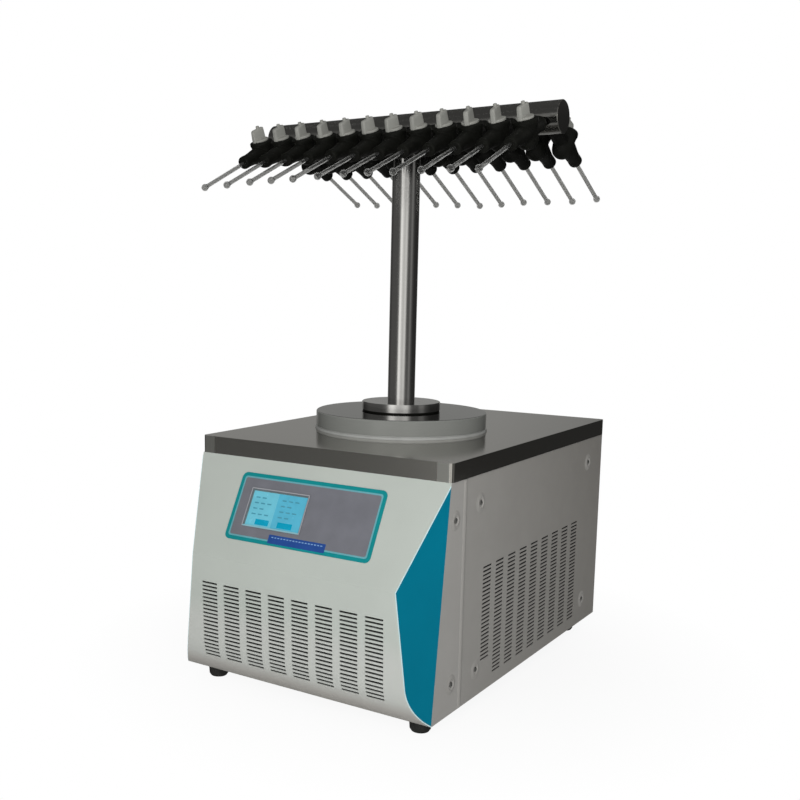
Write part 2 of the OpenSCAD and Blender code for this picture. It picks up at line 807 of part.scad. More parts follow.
module compressor() {
    shell_z = floor_z + mount_h;
    dish = 20;
    crown = 24;
    seam = [3, 8];
    foot = [34, 32, 3];
    color([0.15, 0.15, 0.16]) translate([compressor_x, compressor_y, 0]) union() {
        translate([0, 0, shell_z + dish]) cylinder(r = compressor_r, h = compressor_h - dish - crown);
        translate([0, 0, shell_z]) cylinder(r1 = compressor_r * 0.8, r2 = compressor_r, h = dish + eps);
        translate([0, 0, compressor_top - crown - eps])
            cylinder(r1 = compressor_r, r2 = compressor_r * 0.64, h = crown + eps);
        translate([0, 0, shell_z + compressor_h / 2 + 4]) cylinder(r = compressor_r + seam[0], h = seam[1]);
        for (a = [45 : 90 : 315]) rotate([0, 0, a])
            translate([compressor_r + 12 - foot[0], -foot[1] / 2, shell_z]) cube(foot);
    }
}

// Rubber mounts between the compressor's feet and the chassis floor
module compressor_mounts() {
    color([0.12, 0.12, 0.12]) translate([compressor_x, compressor_y, floor_z])
        for (a = [45 : 90 : 315]) rotate([0, 0, a]) translate([compressor_r + 2, 0, 0])
            cylinder(d = 20, h = mount_h);
}

module condenser() {
    step = (condenser[0] - fin_t) / (fins - 1);
    color("lightslategray") translate([-condenser[0] / 2, condenser_y - condenser[1] / 2, condenser_z]) {
        for (i = [0 : fins - 1]) translate([i * step, 0, 0]) cube([fin_t, condenser[1], condenser[2]]);
        for (y = [0.3, 0.7], z = [0.12 : 0.19 : 0.9])
            translate([0, y * condenser[1], z * condenser[2]]) rotate([0, 90, 0])
                cylinder(d = line_d, h = condenser[0]);
        for (x = [12, condenser[0] - 22]) translate([x, 4, floor_z - condenser_z])
            cube([10, condenser[1] - 8, condenser_z - floor_z + eps]);
    }
}

module fan_motor() {
    motor_y = fan_frame[1] + 6;
    color([0.2, 0.2, 0.22]) translate([0, fan_y, fan_z]) rotate([-90, 0, 0]) {
        difference() {
            translate([-fan_frame[0] / 2, -fan_frame[0] / 2, 0])
                cube([fan_frame[0], fan_frame[0], fan_frame[1]]);
            translate([0, 0, -1]) cylinder(d = fan_d + 3, h = fan_frame[1] + 2);
        }
        difference() {
            union() {
                translate([0, 0, motor_y - 4]) cylinder(d = 46, h = 30);
                for (a = [45 : 90 : 315]) rotate([0, 0, a])
                    translate([20, -4, fan_frame[1] - eps]) cube([fan_d / 2 - 8, 8, 5]);
            }
            translate([0, 0, 0]) cylinder(d = pin_d + 2 * fit, h = motor_y + 20);
        }
    }
}

module condenser_fan() {
    color("dimgray") translate([0, fan_y, fan_z]) rotate([-90, 0, 0]) {
        translate([0, 0, 3]) cylinder(d = hub_d, h = fan_frame[1] - 5);
        translate([0, 0, 3]) cylinder(d = pin_d, h = fan_frame[1] + 18);
        for (i = [0 : fan_blades - 1]) rotate([0, 0, i * 360 / fan_blades])
            translate([hub_d / 2 - 3, 0, fan_frame[1] / 2]) rotate([35, 0, 0])
                translate([0, -9, -0.8]) cube([fan_d / 2 - hub_d / 2, 18, 1.6]);
    }
}

module refrigerant_lines() {
    left = -condenser[0] / 2;
    side = inner_x - 34;
    low_z = base_z + 34;
    high_z = base_z + 100;
    lane_y = compressor_y - compressor_r - 14;
    stub = foam_out + 4;
    drier_y = trap_y - 60;
    color("sandybrown") {
        pipe([[compressor_x, compressor_y - compressor_r, high_z], [compressor_x, lane_y, high_z],
              [-side, lane_y, high_z], [-side, condenser_y, high_z - 12], [left, condenser_y, high_z - 12]],
             line_d, 1);
        pipe([[-left, condenser_y, low_z], [side, condenser_y, low_z],
              [side, trap_y, low_z], [side, trap_y, coil_low], [trap_x + stub, trap_y, coil_low]],
             line_d, 1);
        translate([side, drier_y, low_z]) rotate([90, 0, 0]) cylinder(d = drier_d, h = drier_l, center = true);
        pipe([[trap_x - stub, trap_y, coil_high], [-side, trap_y, coil_high], [-side, lane_y + 20, coil_high],
              [compressor_x, compressor_y - 20, coil_high],
              [compressor_x, compressor_y - 20, compressor_top]], line_d, 1);
    }
}

// ---------- Rear services ----------

module power_inlet() {
    color([0.1, 0.1, 0.1]) translate([inlet_x, rear_y, inlet_z]) difference() {
        union() {
            translate([-inlet[0] / 2, 0, -inlet[1] / 2]) cube([inlet[0], inlet_flange, inlet[1]]);
            translate([-inlet[0] / 2 + 4.5, -inlet_depth, -inlet[1] / 2 + 4.5])
                cube([inlet[0] - 9, inlet_depth + eps, inlet[1] - 9]);
        }
        difference() {
            translate([-socket[0] - 1, -socket_depth, -socket[1] / 2]) cube([socket[0], cut, socket[1]]);
            for (i = [-1 : 1])
                translate([i * pin_pitch - socket[0] / 2 - pin[0], -inlet_depth, 0.5 - pin_drop * abs(i)])
                    cube([pin[0], inlet_depth - socket_rim, pin[1]]);
        }
        translate([rocker_x - rocker_w / 2 - 1, -socket_depth, -11]) cube([rocker_w + 2, cut, 22]);
        translate([rocker_x - rocker_w / 2 - 3, 0, 0]) rotate([0, 90, 0])
            cylinder(d = rocker_pin + 2 * fit, h = rocker_w + 6);
    }
}

// The rocker stands in its off position: its lower half is out
module power_switch() {
    half = 8.5;
    color("firebrick") translate([inlet_x + rocker_x, rear_y, inlet_z]) {
        rotate([rocker_tilt, 0, 0]) along_x(rocker_w)
            polygon([[-3, -half], [5.5, -half], [3.2, 0], [5.5, half], [-3, half]]);
        rotate([0, 90, 0]) cylinder(d = rocker_pin, h = rocker_w + 4, center = true);
    }
}

module vacuum_port() {
    from = trap_y + pot_r - 0.2;
    to = rear_y + 32;
    color("lightgray") translate([trap_x, 0, vacuum_z]) difference() {
        union() {
            port_bar(vacuum_d, from, to);
            translate([0, to - 7, 0]) rotate([-90, 0, 0]) cylinder(d1 = vacuum_d, d2 = kf_d, h = 4);
            port_bar(kf_d, to - 3, to);
            port_bar(vacuum_d + 12, rear_y, rear_y + 3);
        }
        port_bar(vacuum_bore, from - 5, to + 5);
        translate([0, trap_y, -vacuum_z]) cylinder(r = pot_r, h = cut * 2);
    }
}

module drain_valve() {
    color("goldenrod") translate([drain_x, rear_y, drain_z]) difference() {
        union() {
            port_bar(drain_d + 8, seat_gap, 14);
            port_bar(24, 14, 40);
            port_bar(14, 40, 52);
            port_bar(spout_d, 52, spout_end);
            translate([0, handle_y, 0]) cylinder(d = 14, h = lever_z);
        }
        port_bar(drain_d + 0.1, -5, drain_grip + 0.3);
        port_bar(drain_d - 3, 0, spout_end + 5);
        translate([0, handle_y, 9]) cylinder(d = stem_d + 2 * fit, h = 20);
    }
}

// The lever lies across the pipe, which is shut. It swings a quarter turn to the rear to open
module drain_handle() {
    color("royalblue") translate([drain_x, rear_y + handle_y, drain_z]) {
        translate([0, 0, 9.5]) cylinder(d = stem_d, h = lever_z - 8);
        translate([0, 0, lever_z + seat_gap]) cylinder(d = 16, h = 4);
        translate([0, -5, lever_z + seat_gap]) cube([lever_l, 10, 3]);
        translate([lever_l, 0, lever_z + seat_gap]) cylinder(d = 10, h = 3);
    }
}

chassis();
front_frame();
front_fascia();
left_cheek();
right_cheek();
left_side_panel();
right_side_panel();
rear_panel();
worktop();
control_overlay();
screen_bezel();
touch_screen();
control_board();
cold_trap_pot();
trap_insulation();
evaporator_coil();
trap_seal();
trap_lid();
manifold_column();
manifold_tube();
valve_bodies();
ampoules();
compressor();
compressor_mounts();
condenser();
fan_motor();
condenser_fan();
refrigerant_lines();
panel_screws();
feet();
power_inlet();
power_switch();
vacuum_port();
drain_pipe();
drain_valve();
drain_handle();
for (i = [1 : ports]) valve_knob(i, 180);
for (i = [1 : ports]) valve_knob(i, 0);
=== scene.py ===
"""Benchtop freeze dryer: looks, finer pieces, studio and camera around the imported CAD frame.

In metres, but for the profiles that go through mm(). X runs to the right, Y to the rear and Z up.
"""

import math

import bmesh
import bpy
from mathutils import Matrix, Vector


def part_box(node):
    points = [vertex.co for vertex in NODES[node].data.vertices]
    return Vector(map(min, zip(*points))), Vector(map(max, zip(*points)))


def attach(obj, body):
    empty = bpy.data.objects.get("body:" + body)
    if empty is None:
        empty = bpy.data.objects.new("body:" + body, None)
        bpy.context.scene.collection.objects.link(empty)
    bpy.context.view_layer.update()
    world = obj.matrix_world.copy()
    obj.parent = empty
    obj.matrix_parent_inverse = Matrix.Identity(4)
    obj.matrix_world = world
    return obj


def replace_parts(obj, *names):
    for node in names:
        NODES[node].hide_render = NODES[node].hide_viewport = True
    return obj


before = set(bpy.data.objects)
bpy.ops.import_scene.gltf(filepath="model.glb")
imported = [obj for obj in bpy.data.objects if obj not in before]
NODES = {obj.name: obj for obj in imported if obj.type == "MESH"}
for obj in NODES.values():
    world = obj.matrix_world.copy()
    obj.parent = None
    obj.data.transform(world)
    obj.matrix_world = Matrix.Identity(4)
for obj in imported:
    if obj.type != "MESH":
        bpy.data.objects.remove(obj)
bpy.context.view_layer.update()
MM = 0.001

# ---------------------------------------------------------------- sizes and places
TOP_LOW, TOP_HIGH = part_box("worktop")
LID_LOW, LID_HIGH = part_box("trap_lid")
TUBE_LOW, TUBE_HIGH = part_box("manifold_tube")
FASCIA_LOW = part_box("front_fascia")[0]
# The side panels: their outer face and their front edge, where the front frame's strips end
PANEL_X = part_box("right_side_panel")[1].x
SEAM_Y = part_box("right_side_panel")[0].y
# The casing's underside, and the height of the moulding's crease above it
CASE_BASE = FASCIA_LOW.z
CREASE_H = 196 * MM
# The manifold: the radius of its tube and the middle of its axis
TUBE_R = 25 * MM
AXIS = Vector(((TUBE_LOW.x + TUBE_HIGH.x) / 2, (LID_LOW.y + LID_HIGH.y) / 2, TUBE_HIGH.z - TUBE_R))
# The ports: how many in a row, from one to the next, and how far they point down
PORTS = 12
PORT_PITCH = 43.8 * MM
PORT_DROP = math.radians(23)
# Along a port from that axis: the plug's axis and the nozzle's seat. The nozzle lies a little above
VALVE_REACH = 79 * MM
NOZZLE_SEAT = 117 * MM
NOZZLE_UP = 2 * MM

# The slope of the control panel, from under the worktop to the crease: down along it and out of it
SLOPE_TOP = Vector((0, TOP_LOW.y, TOP_LOW.z))
SLOPE_FOOT = Vector((0, FASCIA_LOW.y, CASE_BASE + CREASE_H))
DOWN = (SLOPE_FOOT - SLOPE_TOP).normalized()
OUT = Vector((0, DOWN.z, -DOWN.y))
SLOPE = Matrix(((1, 0, 0, 0), (0, DOWN.y, OUT.y, SLOPE_TOP.y), (0, DOWN.z, OUT.z, SLOPE_TOP.z), (0, 0, 0, 1)))


# ---------------------------------------------------------------- materials
class Shader:
    """A Principled material, with helpers for its nodes."""

    def __init__(self, name, colour, roughness, metallic=0.0, **sockets):
        self.material = bpy.data.materials.new(name)
        self.material.use_nodes = True
        self.tree = self.material.node_tree
        self.bsdf = self.tree.nodes["Principled BSDF"]
        self.colour = colour
        self.bsdf.inputs["Base Color"].default_value = (*colour, 1)
        self.bsdf.inputs["Roughness"].default_value = roughness
        self.bsdf.inputs["Metallic"].default_value = metallic
        for key, value in sockets.items():
            self.bsdf.inputs[key.replace("_", " ")].default_value = value
        self.coord = self.node("ShaderNodeTexCoord").outputs["Object"]

    def node(self, kind, **values):
        made = self.tree.nodes.new(kind)
        for key, value in values.items():
            setattr(made, key, value)
        return made

    def link(self, a, b):
        self.tree.links.new(a, b)

    def feed(self, key, socket):
        """Links a socket to one of the Principled shader's inputs."""
        self.link(socket, self.bsdf.inputs[key])

    def axis(self, letter):
        """The piece's own X, Y or Z."""
        split = self.node("ShaderNodeSeparateXYZ")
        self.link(self.coord, split.inputs[0])
        return split.outputs[letter]

    def compute(self, operation, a, b=None):
        """A Math node on a socket and, where it takes two, on a second socket or a number."""
        made = self.node("ShaderNodeMath", operation=operation)
        self.link(a, made.inputs[0])
        if isinstance(b, bpy.types.NodeSocket):
            self.link(b, made.inputs[1])
        elif b is not None:
            made.inputs[1].default_value = b
        return made.outputs[0]

    def length(self, vector):
        made = self.node("ShaderNodeVectorMath", operation="LENGTH")
        self.link(vector, made.inputs[0])
        return made.outputs["Value"]

    def noise(self, scale, detail, stretch=(1, 1, 1), rough=0.5):
        mapping = self.node("ShaderNodeMapping")
        mapping.inputs["Scale"].default_value = stretch
        self.link(self.coord, mapping.inputs["Vector"])
        made = self.node("ShaderNodeTexNoise")
        made.inputs["Scale"].default_value = scale
        made.inputs["Detail"].default_value = detail
        made.inputs["Roughness"].default_value = rough
        self.link(mapping.outputs["Vector"], made.inputs["Vector"])
        return made.outputs["Fac"]

    def ramp(self, fac, low, high, start=0.3, end=0.7):
        """From low to high as fac goes from start to end. The plain start and end suit a noise."""
        made = self.node("ShaderNodeMapRange")
        made.inputs["From Min"].default_value = start
        made.inputs["From Max"].default_value = end
        made.inputs["To Min"].default_value = low
        made.inputs["To Max"].default_value = high
        self.link(fac, made.inputs["Value"])
        return made.outputs["Result"]

    def mix(self, fac, a, b):
        """From a to b, each a colour or a socket, as fac goes from 0 to 1."""
        made = self.node("ShaderNodeMix", data_type="RGBA")
        self.link(fac, made.inputs["Factor"])
        for socket, value in ((made.inputs[6], a), (made.inputs[7], b)):
            if isinstance(value, bpy.types.NodeSocket):
                self.link(value, socket)
            else:
                socket.default_value = (*value, 1)
        return made.outputs[2]

    def vary(self, fac, amount):
        """The base colour, darker and lighter by amount as a noise goes."""
        dark = [c * (1 - amount) for c in self.colour]
        light = [min(1, c * (1 + amount)) for c in self.colour]
        out = self.mix(self.ramp(fac, 0, 1), dark, light)
        self.feed("Base Color", out)
        return out

    def roughness(self, fac, low, high):
        self.feed("Roughness", self.ramp(fac, low, high))

    def bump(self, fac, strength, distance):
        made = self.node("ShaderNodeBump")
        made.inputs["Strength"].default_value = strength
        made.inputs["Distance"].default_value = distance
        self.link(fac, made.inputs["Height"])
        self.feed("Normal", made.outputs["Normal"])

    def brush(self, grain, scale, scratch, smudge, detail=6, rough=0.7):
        """Brushed lines along the grain, as scratches and in the base colour, which it returns."""
        lines = self.noise(scale, detail, grain, rough)
        self.bump(lines, scratch, 0.0002)
        return self.vary(lines, smudge)


def baked_paint(name, colour, roughness=0.42, wear=0.03, shine=0.4):
    """Baked paint: soft mottling, a little dust and a fine orange peel. The shader and its base colour."""
    s = Shader(name, colour, roughness, Specular_IOR_Level=shine)
    plain = s.vary(s.noise(9, 5), wear)
    s.roughness(s.noise(30, 4), roughness - 0.05, roughness + 0.07)
    s.bump(s.noise(700, 2), 0.06, 0.0002)
    return s, plain


def paint(*finish):
    """Baked paint all over."""
    return baked_paint(*finish)[0].material


def moulding_paint():
    """The moulding's pale paint, with painted light that makes it lighter and more neutral low down, and
    painted shade where it bends under.
    """
    s, plain = baked_paint("moulding_paint", (0.47, 0.505, 0.465))
    height = s.axis("Z")
    # Painted light: lighter, more neutral paint on the lower part of the moulding.
    low = s.ramp(height, 1, 0, CASE_BASE + 95 * MM, CASE_BASE + 130 * MM)
    # Painted shade: darker paint where the moulding bends under.
    under = s.ramp(height, 1, 0, CASE_BASE + 17 * MM, CASE_BASE + 36 * MM)
    with_painted_light = s.mix(low, plain, (0.51, 0.525, 0.495))
    s.feed("Base Color", s.mix(under, with_painted_light, (0.45, 0.435, 0.405)))
    return s.material


def side_paint():
    """The casing's paint on the long side panels, with painted shade that darkens it towards the rear."""
    s, front_colour = baked_paint("side_paint", (0.345, 0.335, 0.315))
    # Painted shade: the paint darkens from the front of the side panels to their rear.
    painted_shade_to_rear = s.ramp(s.axis("Y"), 0, 1, -250 * MM, 280 * MM)
    s.feed("Base Color", s.mix(painted_shade_to_rear, front_colour, (0.27, 0.258, 0.238)))
    return s.material


def plastic(name, colour, roughness, grain=600, depth=0.1, **sockets):
    """Moulded plastic: faint flow marks and a fine grain."""
    s = Shader(name, colour, roughness, **sockets)
    s.vary(s.noise(40, 4), 0.06)
    s.roughness(s.noise(80, 4), roughness - 0.06, roughness + 0.08)
    s.bump(s.noise(grain, 3), depth, 0.0003)
    return s.material


def steel(name, colour, roughness, grain, scale, scratch, smudge):
    """Bare metal, brushed along a grain or in no direction, with faint smudges."""
    s = Shader(name, colour, roughness, 1.0)
    s.brush(grain, scale, scratch, smudge)
    s.roughness(s.noise(14, 4), roughness * 0.8, roughness * 1.3)
    return s.material


def tube_steel():
    """The manifold's tube, brushed along its length, with duller plates on its ends."""
    s = Shader("tube_steel", (0.6, 0.59, 0.57), 0.16, 1.0)
    wall = s.brush((40, 1, 1), 30, 0.02, 0.04)
    s.roughness(s.noise(14, 4), 0.13, 0.21)
    half = (TUBE_HIGH.x - TUBE_LOW.x) / 2
    reach = s.compute("ABSOLUTE", s.compute("SUBTRACT", s.axis("X"), AXIS.x))
    end_plate = s.ramp(reach, 0, 1, half - 0.4 * MM, half - 0.2 * MM)
    s.feed("Base Color", s.mix(end_plate, wall, (0.33, 0.32, 0.305)))
    return s.material


def worktop_steel():
    """Polished sheet: faint brushing front to back, and painted light on its front fold, a little along it
    and most at its two ends.
    """
    s = Shader("worktop_steel", (0.56, 0.54, 0.505), 0.13, 1.0)
    plain = s.brush((1, 40, 1), 30, 0.015, 0.03)
    across = s.compute("ABSOLUTE", s.axis("X"))
    # Painted light: the front fold is lighter and rougher, a little along its length and fully near its two
    # ends.
    corner = s.ramp(across, 0.32, 1, TOP_HIGH.x - 25 * MM, TOP_HIGH.x - 24 * MM)
    fold = s.ramp(s.axis("Y"), 1, 0, TOP_LOW.y + 0.1 * MM, TOP_LOW.y + 0.3 * MM)
    painted_fold_light = s.compute("MULTIPLY", corner, fold)
    s.feed("Base Color", s.mix(painted_fold_light, plain, (0.6, 0.6, 0.57)))
    s.feed("Roughness", s.ramp(painted_fold_light, 0.13, 0.5, 0, 1))
    return s.material


def lid_metal():
    """A polished metal top, and a wall of turned metal under a clear lacquer, with fine rings."""
    s = Shader("lid_metal", (0.25, 0.256, 0.239), 0.14, Specular_IOR_Level=0.3)
    wall = s.brush((1, 1, 40), 40, 0.012, 0.04, 5, 0.6)
    top = s.ramp(s.axis("Z"), 0, 1, LID_HIGH.z - 0.6 * MM, LID_HIGH.z - 0.2 * MM)
    s.feed("Base Color", s.mix(top, wall, (0.26, 0.26, 0.25)))
    s.feed("Metallic", top)
    s.feed("Roughness", s.ramp(top, 0.14, 0.07, 0, 1))
    return s.material


def rubber(name, colour, roughness):
    """Matt rubber or foam: a blotchy bloom and a coarse skin."""
    s = Shader(name, colour, roughness, Specular_IOR_Level=0.15)
    s.vary(s.noise(60, 5), 0.3)
    s.roughness(s.noise(50, 4), roughness - 0.12, roughness + 0.12)
    s.bump(s.noise(900, 3), 0.18, 0.0003)
    return s.material


def drawn_glass():
    """Glass with a grey haze: nearly clear, with faint streaks."""
    s = Shader("ampoule_glass", (0.46, 0.46, 0.45), 0.04, IOR=1.25, Transmission_Weight=0.95,
               Specular_IOR_Level=0.4)
    s.vary(s.noise(60, 3), 0.04)
    s.roughness(s.noise(80, 3), 0.032, 0.052)
    return s.material


LOOKS = {
    "casing": paint("casing_paint", (0.345, 0.335, 0.315)),
    # The front frame: the casing's paint made lighter, as painted light.
    "frame": paint("frame_paint", (0.385, 0.375, 0.355)),
    "side": side_paint(),
    "moulding": moulding_paint(),
    "teal": paint("cheek_teal", (0.0, 0.146, 0.225), 0.4, 0.05, 0.05),
    # The cheeks' edge bead: light in part as a painted highlight along the edge.
    "bead": paint("bead_light", (0.58, 0.76, 0.78), 0.35, 0.04),
    "teal_light": plastic("border_teal", (0.004, 0.235, 0.25), 0.4, Specular_IOR_Level=0.25),
    "line": plastic("border_line", (0.13, 0.37, 0.42), 0.4),
    "film": plastic("overlay_film", (0.165, 0.168, 0.19), 0.38, 900, 0.06),
    "bezel": plastic("bezel_grey", (0.19, 0.195, 0.22), 0.4),
    "zinc": steel("zinc_sheet", (0.45, 0.46, 0.47), 0.45, (1, 1, 1), 25, 0.02, 0.1),
    "worktop": worktop_steel(),
    "lid": lid_metal(),
    "stainless": steel("stainless", (0.55, 0.55, 0.53), 0.3, (1, 1, 50), 40, 0.03, 0.04),
    "tube": tube_steel(),
    "column": steel("column_steel", (0.66, 0.65, 0.64), 0.17, (1, 1, 30), 30, 0.02, 0.03),
    "seal": plastic("seal_rubber", (0.4, 0.405, 0.388), 0.45, 900, 0.06),
    "rubber": rubber("valve_rubber", (0.006, 0.0062, 0.005), 0.5),
    "foot": rubber("foot_rubber", (0.03, 0.03, 0.028), 0.5),
    "knob": plastic("knob_plastic", (0.295, 0.295, 0.27), 0.5, 500, 0.15),
    "glass": drawn_glass(),
    "slot_shade": rubber("slot_shade_foam", (0.02, 0.02, 0.02), 0.8),
    # Black foam behind the side slots, painted shade inside the casing.
    "foam": rubber("foam", (0.55, 0.48, 0.3), 0.85),
    "copper": steel("copper_tube", (0.72, 0.36, 0.2), 0.32, (1, 1, 1), 40, 0.03, 0.15),
    "enamel": paint("compressor_enamel", (0.012, 0.012, 0.013), 0.35, 0.2),
    "fins": steel("condenser_fins", (0.5, 0.51, 0.52), 0.4, (1, 1, 1), 60, 0.03, 0.15),
    "black": plastic("black_plastic", (0.015, 0.015, 0.016), 0.4),
    "board": plastic("circuit_board", (0.01, 0.09, 0.04), 0.4),
    "red": plastic("rocker_red", (0.35, 0.012, 0.012), 0.3),
    "blue": plastic("lever_blue", (0.015, 0.05, 0.24), 0.45),
    "brass": steel("brass_body", (0.62, 0.45, 0.18), 0.3, (1, 1, 1), 50, 0.04, 0.1),
    "screw": steel("screw_steel", (0.55, 0.55, 0.54), 0.25, (1, 1, 1), 200, 0.05, 0.1),
    "hose": rubber("drain_hose", (0.6, 0.6, 0.57), 0.45),
    "edge": plastic("bezel_edge", (0.34, 0.35, 0.37), 0.35),
    # The bezel's painted shadow on the glass.
    "lcd_bezel_shadow": plastic("screen_bezel_shadow", (0.12, 0.175, 0.185), 0.3, 400, 0.02),
    "rim_lit": plastic("lit_rim", (0.24, 0.46, 0.52), 0.35, 400, 0.02),
    "lcd": plastic("screen_glass", (0.095, 0.45, 0.62), 0.2, 400, 0.02),
    "lcd_light": plastic("screen_light", (0.155, 0.53, 0.66), 0.2, 400, 0.02),
    "lcd_key": plastic("screen_key", (0.0, 0.33, 0.51), 0.2, 400, 0.02),
    "lcd_mark": plastic("screen_mark", (0.07, 0.30, 0.40), 0.25, 400, 0.02),
    "label": plastic("label_blue", (0.015, 0.065, 0.27), 0.35, 900, 0.05),
    "label_mark": plastic("label_mark", (0.2, 0.36, 0.62), 0.35, 900, 0.05),
}

# The look of each CAD node. The nodes that aren't here are the valves' plugs, with their knobs
NODE_LOOKS = {
    "chassis": "zinc", "front_frame": "frame", "left_side_panel": "side", "right_side_panel": "side",
    "rear_panel": "casing", "front_fascia": "moulding", "left_cheek": "teal", "right_cheek": "teal",
    "worktop": "worktop", "control_overlay": "teal_light", "screen_bezel": "bezel", "touch_screen": "lcd",
    "control_board": "board", "cold_trap_pot": "stainless", "trap_insulation": "foam",
    "evaporator_coil": "copper", "trap_seal": "seal", "trap_lid": "lid", "manifold_column": "column",
    "manifold_tube": "tube", "valve_bodies": "rubber", "ampoules": "glass", "compressor": "enamel",
    "compressor_mounts": "foot", "condenser": "fins", "fan_motor": "black", "condenser_fan": "black",
    "refrigerant_lines": "copper", "panel_screws": "screw", "feet": "foot", "power_inlet": "black",
    "power_switch": "red", "vacuum_port": "stainless", "drain_pipe": "hose", "drain_valve": "brass",
    "drain_handle": "blue",
}
for name, node in NODES.items():
    node.data.materials.clear()
    node.data.materials.append(LOOKS[NODE_LOOKS.get(name, "knob")])


# ---------------------------------------------------------------- objects and meshes
def add_object(name, data):
    """A new object in the scene."""
    made = bpy.data.objects.new(name, data)
    bpy.context.scene.collection.objects.link(made)
    return made


def to_mesh(name, bm):
    """A new mesh with what bm holds."""
    mesh = bpy.data.meshes.new(name)
    bm.to_mesh(mesh)
    bm.free()
    return mesh


def smooth(mesh, degrees):
    """Shades a mesh smoothly, except over edges that turn by more than some degrees."""
    mesh.shade_smooth()
    mesh.set_sharp_from_angle(angle=math.radians(degrees))


def new_piece(name, bm, look, smooth_angle=None, body="cabinet"):
    """A piece with what bm holds, flat shaded unless it has an angle to smooth over."""
    piece = add_object(name, to_mesh(name, bm))
    piece.data.materials.append(LOOKS[look])
    if smooth_angle:
        smooth(piece.data, smooth_angle)
    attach(piece, body)
    return piece


def modified(mesh, *modifiers):
    """A new mesh, made of this one by modifiers, each given as its type and its settings."""
    scratch = add_object("scratch", mesh)
    for kind, settings in modifiers:
        modifier = scratch.modifiers.new(kind, kind)
        for key, value in settings.items():
            setattr(modifier, key, value)
    bpy.context.view_layer.update()
    made = bpy.data.meshes.new_from_object(scratch.evaluated_get(bpy.context.evaluated_depsgraph_get()))
    bpy.data.objects.remove(scratch)
    return made


def face_outward(bm):
    """Turns the faces of closed bodies outward."""
    bmesh.ops.recalc_face_normals(bm, faces=bm.faces[:])


def bridge(bm, rings):
    """Bands of faces from each ring of vertices to the next. A pole is one vertex, repeated."""
    for a, b in zip(rings, rings[1:]):
        for k in range(len(a)):
            j = (k + 1) % len(a)
            corners = list(dict.fromkeys((a[k], a[j], b[j], b[k])))
            if len(corners) > 2:
                bm.faces.new(corners)


def loft(bm, rings):
    """A closed body through rings of points, with a face over the first and the last."""
    loops = [[bm.verts.new(point) for point in ring] for ring in rings]
    bridge(bm, loops)
    bm.faces.new(loops[-1])
    bm.faces.new(loops[0][::-1])


def revolve(bm, profile, matrix, steps, closed=False):
    """Spins a profile of (radius, height) about local Z. A radius of 0 makes a pole."""
    turns = [2 * math.pi * k / steps for k in range(steps)]
    rings = []
    for r, z in profile:
        if r < 1e-7:
            rings.append([bm.verts.new(matrix @ Vector((0, 0, z)))] * steps)
        else:
            points = (Vector((r * math.cos(a), r * math.sin(a), z)) for a in turns)
            rings.append([bm.verts.new(matrix @ point) for point in points])
    bridge(bm, rings + rings[:1] if closed else rings)


def mm(profile):
    """A profile that is written in millimetres."""
    return [(r * MM, z * MM) for r, z in profile]


def arc(cx, cz, r, start, end, steps):
    """Points of a profile round a fillet, from one angle to another in degrees."""
    angles = (math.radians(start + (end - start) * k / steps) for k in range(steps + 1))
    return [(cx + r * math.cos(a), cz + r * math.sin(a)) for a in angles]


def rounded_outline(w, h, r, steps=6):
    """Points of a rectangle with round corners, about its middle, anticlockwise."""
    points = []
    for corner, (sx, sy) in enumerate(((1, 1), (-1, 1), (-1, -1), (1, -1))):
        for k in range(steps + 1):
            a = math.radians(90 * corner + 90 * k / steps)
            points.append((sx * (w / 2 - r) + r * math.cos(a), sy * (h / 2 - r) + r * math.sin(a)))
    return points


def plates(name, look, parts):
    """A piece of thin plates, each given as its outline, its place and its thickness."""
    bm = bmesh.new()
    for outline, place, thick in parts:
        loft(bm, [[place @ Vector((x, y, z)) for x, y in outline] for z in (0, thick)])
    new_piece(name, bm, look)


def flat_frame(name, look, outer, inner, place, thick):
    """A piece that is a thin frame between two outlines with as many points each."""
    bm = bmesh.new()
    rings = [[bm.verts.new(place @ Vector((x, y, z))) for x, y in outline]
             for outline, z in ((outer, 0), (outer, thick), (inner, thick), (inner, 0))]
    bridge(bm, rings + rings[:1])
    new_piece(name, bm, look)


# ---------------------------------------------------------------- control panel
def on_slope(x, down, out):
    """The place of an outline (X right, Y up the slope) on the control panel, out in front of it."""
    return SLOPE @ Matrix(((1, 0, 0, x), (0, -1, 0, down), (0, 0, 1, out), (0, 0, 0, 1)))


def slope_span(node):
    """A node on the panel: its middle across and down the slope, its width and height, and its front."""
    points = [SLOPE.inverted() @ v.co for v in NODES[node].data.vertices]
    xs, ys = [p.x for p in points], [p.y for p in points]
    front = max(p.z for p in points)
    return (max(xs) + min(xs)) / 2, (max(ys) + min(ys)) / 2, max(xs) - min(xs), max(ys) - min(ys), front


def control_panel():
    """The panel's film inside its coloured border: a dark field in a fine line, and a label with marks."""
    x, down, w, h, out = slope_span("control_overlay")
    border, line = 8.3 * MM, 2.4 * MM
    film = on_slope(x, down, out)
    field = rounded_outline(w - 2 * border, h - 2 * border, 3.5 * MM)
    around = rounded_outline(w - 2 * (border - line), h - 2 * (border - line), 4.2 * MM)
    plates("overlay_field", "film", [(field, film, 0.1 * MM)])
    flat_frame("overlay_line", "line", around, field, film, 0.14 * MM)

    label_x, label_down, label_thick = 2 * MM, 122.5 * MM, 0.22 * MM
    label = rounded_outline(102 * MM, 13.5 * MM, 0.8 * MM)
    label_place = on_slope(label_x, label_down, out)
    plates("overlay_label", "label", [(label, label_place, label_thick)])
    # The marks stand in one row across the label, a little above its middle
    count, pitch, rise = 17, 5.5 * MM, 3 * MM
    mark = rounded_outline(3.4 * MM, 1.5 * MM, 0.2 * MM)
    places = [on_slope(label_x + (k - (count - 1) / 2) * pitch, label_down - rise, out + label_thick)
              for k in range(count)]
    plates("label_marks", "label_mark", [(mark, place, 0.06 * MM) for place in places])


